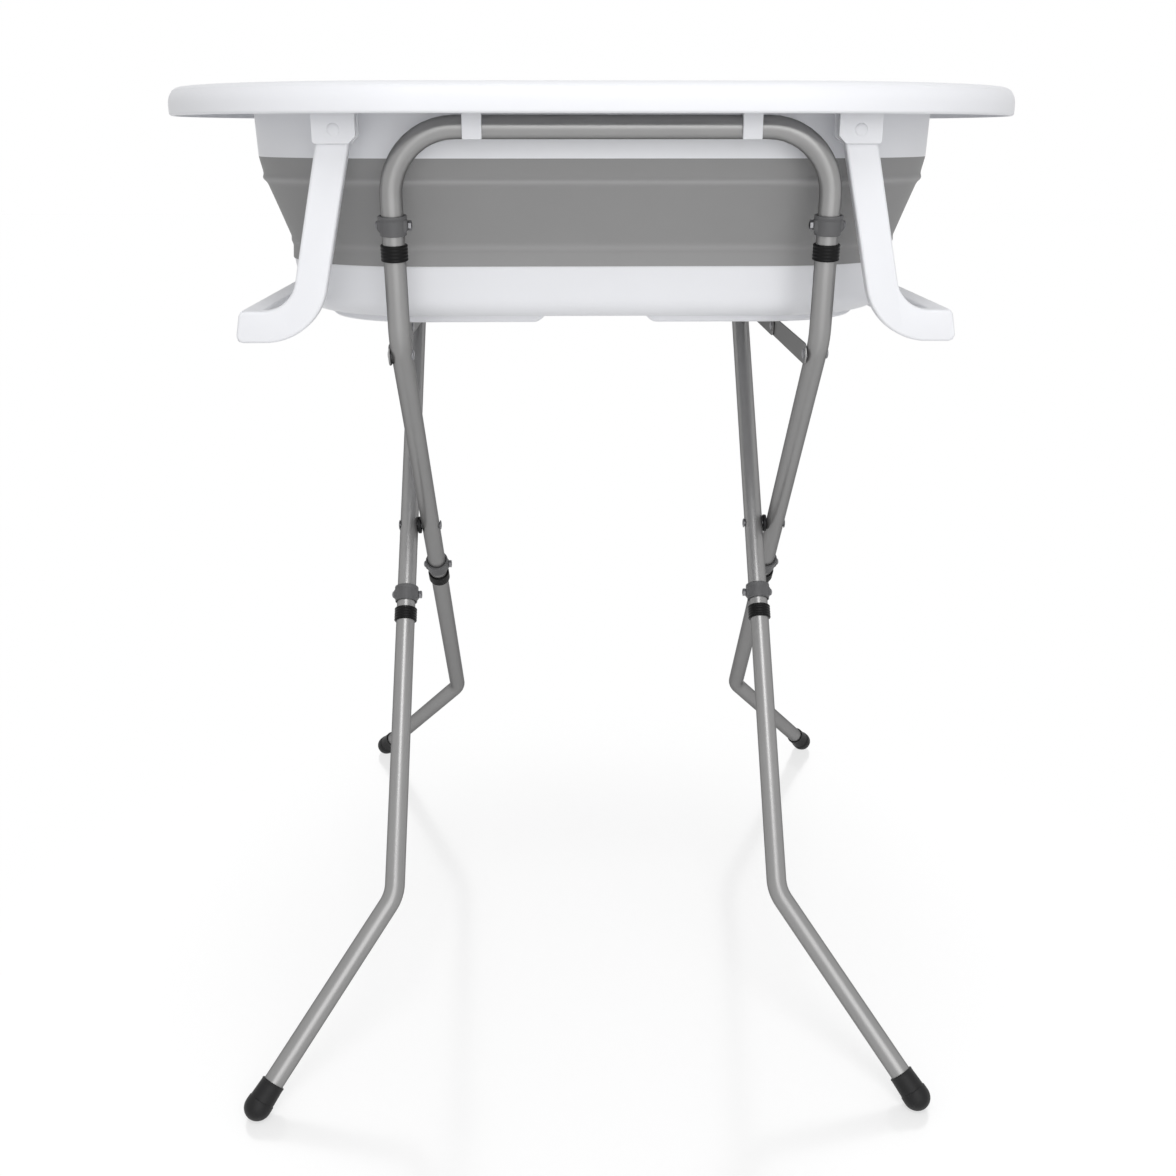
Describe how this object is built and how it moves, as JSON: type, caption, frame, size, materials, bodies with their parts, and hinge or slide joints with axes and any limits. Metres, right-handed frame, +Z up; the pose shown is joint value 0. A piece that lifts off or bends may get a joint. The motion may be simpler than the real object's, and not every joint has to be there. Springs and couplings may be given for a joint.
{
  "type": "folding bathtub on a stand",
  "caption": "Collapsible baby bathtub with a soft folding wall and fold-in floor legs, hooked over a folding crossed-tube stand.",
  "frame": {"origin": "on the floor, under the middle of the tub", "axes": "+X right along the tub, +Y away from the front, +Z up"},
  "size_m": [0.79, 0.7668, 0.883],
  "materials": {
    "white_plastic": "satin",
    "soft_wall": "matte",
    "plug_rubber": "matte",
    "tube_paint": "satin",
    "stay_steel": "satin",
    "hardware_steel": "satin",
    "clamp_plastic": "matte",
    "collar_plastic": "matte",
    "foot_rubber": "matte"
  },
  "bodies": {
    "pivots": {"cross_pivot_bolts": "hardware_steel", "cross_pivot_nuts": "hardware_steel", "cross_pivot_spacers": "hardware_steel"},
    "near_frame": {"near_clamp_bolts": "hardware_steel", "near_clamp_nuts": "hardware_steel", "near_left_foot_cap": "foot_rubber", "near_left_foot_tube": "tube_paint", "near_left_leg_tube": "tube_paint", "near_left_lower_clamp": "clamp_plastic", "near_left_lower_collar": "collar_plastic", "near_left_upper_clamp": "clamp_plastic", "near_left_upper_collar": "collar_plastic", "near_right_foot_cap": "foot_rubber", "near_right_foot_tube": "tube_paint", "near_right_leg_tube": "tube_paint", "near_right_lower_clamp": "clamp_plastic", "near_right_lower_collar": "collar_plastic", "near_right_upper_clamp": "clamp_plastic", "near_right_upper_collar": "collar_plastic", "near_stay_rivets": "hardware_steel", "near_top_tube": "tube_paint"},
    "far_frame": {"far_clamp_bolts": "hardware_steel", "far_clamp_nuts": "hardware_steel", "far_left_foot_cap": "foot_rubber", "far_left_foot_tube": "tube_paint", "far_left_leg_tube": "tube_paint", "far_left_lower_clamp": "clamp_plastic", "far_left_lower_collar": "collar_plastic", "far_left_upper_clamp": "clamp_plastic", "far_left_upper_collar": "collar_plastic", "far_right_foot_cap": "foot_rubber", "far_right_foot_tube": "tube_paint", "far_right_leg_tube": "tube_paint", "far_right_lower_clamp": "clamp_plastic", "far_right_lower_collar": "collar_plastic", "far_right_upper_clamp": "clamp_plastic", "far_right_upper_collar": "collar_plastic", "far_stay_rivets": "hardware_steel", "far_top_tube": "tube_paint"},
    "tub": {"far_left_bar_clip": "white_plastic", "far_left_leg_bracket": "white_plastic", "far_right_bar_clip": "white_plastic", "far_right_leg_bracket": "white_plastic", "folding_wall": "soft_wall", "leg_hinge_pins": "white_plastic", "near_left_bar_clip": "white_plastic", "near_left_leg_bracket": "white_plastic", "near_right_bar_clip": "white_plastic", "near_right_leg_bracket": "white_plastic", "rim": "white_plastic"},
    "base": {"base_pan": "white_plastic"},
    "plug": {"drain_plug": "plug_rubber"},
    "right_leg": {"right_floor_leg": "white_plastic"},
    "left_leg": {"left_floor_leg": "white_plastic"},
    "near_stays": {"near_right_stay_link": "stay_steel", "near_left_stay_link": "stay_steel", "stay_middle_rivets": "hardware_steel"},
    "far_stays": {"far_right_stay_link": "stay_steel", "far_left_stay_link": "stay_steel", "stay_end_rivets": "hardware_steel"}
  },
  "joints": [
    {"name": "tub_lift", "type": "slide", "parent": "pivots", "child": "tub", "axis": [0, 0, 1], "range_m": [0, 0.7]},
    {"name": "near_frame_fold", "type": "hinge", "parent": "pivots", "child": "near_frame", "pos_m": [0, 0, 0.449], "axis": [-1, 0, 0], "range_deg": [0, 26]},
    {"name": "far_frame_fold", "type": "hinge", "parent": "pivots", "child": "far_frame", "pos_m": [0, 0, 0.449], "axis": [1, 0, 0], "range_deg": [0, 26]},
    {"name": "base_rise", "type": "slide", "parent": "tub", "child": "base", "axis": [0, 0, 1], "range_m": [0, 0.08], "deforming": ["folding_wall"]},
    {"name": "right_leg_fold", "type": "hinge", "parent": "tub", "child": "right_leg", "pos_m": [0.216, 0, 0.846], "axis": [0, 1, 0], "range_deg": [0, 75]},
    {"name": "left_leg_fold", "type": "hinge", "parent": "tub", "child": "left_leg", "pos_m": [-0.216, 0, 0.846], "axis": [0, -1, 0], "range_deg": [0, 75]},
    {"name": "near_stay_turn", "type": "hinge", "parent": "near_frame", "child": "near_stays", "pos_m": [0, -0.1785, 0.658], "axis": [-1, 0, 0], "range_deg": [0, 41.33]},
    {"name": "far_stay_turn", "type": "hinge", "parent": "near_stays", "child": "far_stays", "pos_m": [0, 0, 0.658], "axis": [1, 0, 0], "range_deg": [0, 134.66]},
    {"name": "plug_pull", "type": "slide", "parent": "base", "child": "plug", "axis": [0, 0, 1], "range_m": [0, 0.03]}
  ],
  "couplings": [
    {"joint": "near_frame_fold", "follows": "tub_lift", "rad_per_m": 0.64826},
    {"joint": "far_frame_fold", "follows": "tub_lift", "rad_per_m": 0.64826},
    {"joint": "base_rise", "follows": "tub_lift", "ratio": 0.11428},
    {"joint": "right_leg_fold", "follows": "tub_lift", "rad_per_m": 1.87},
    {"joint": "left_leg_fold", "follows": "tub_lift", "rad_per_m": 1.87},
    {"joint": "near_stay_turn", "follows": "tub_lift", "rad_per_m": 1.0303},
    {"joint": "far_stay_turn", "follows": "tub_lift", "rad_per_m": 3.3572}
  ]
}
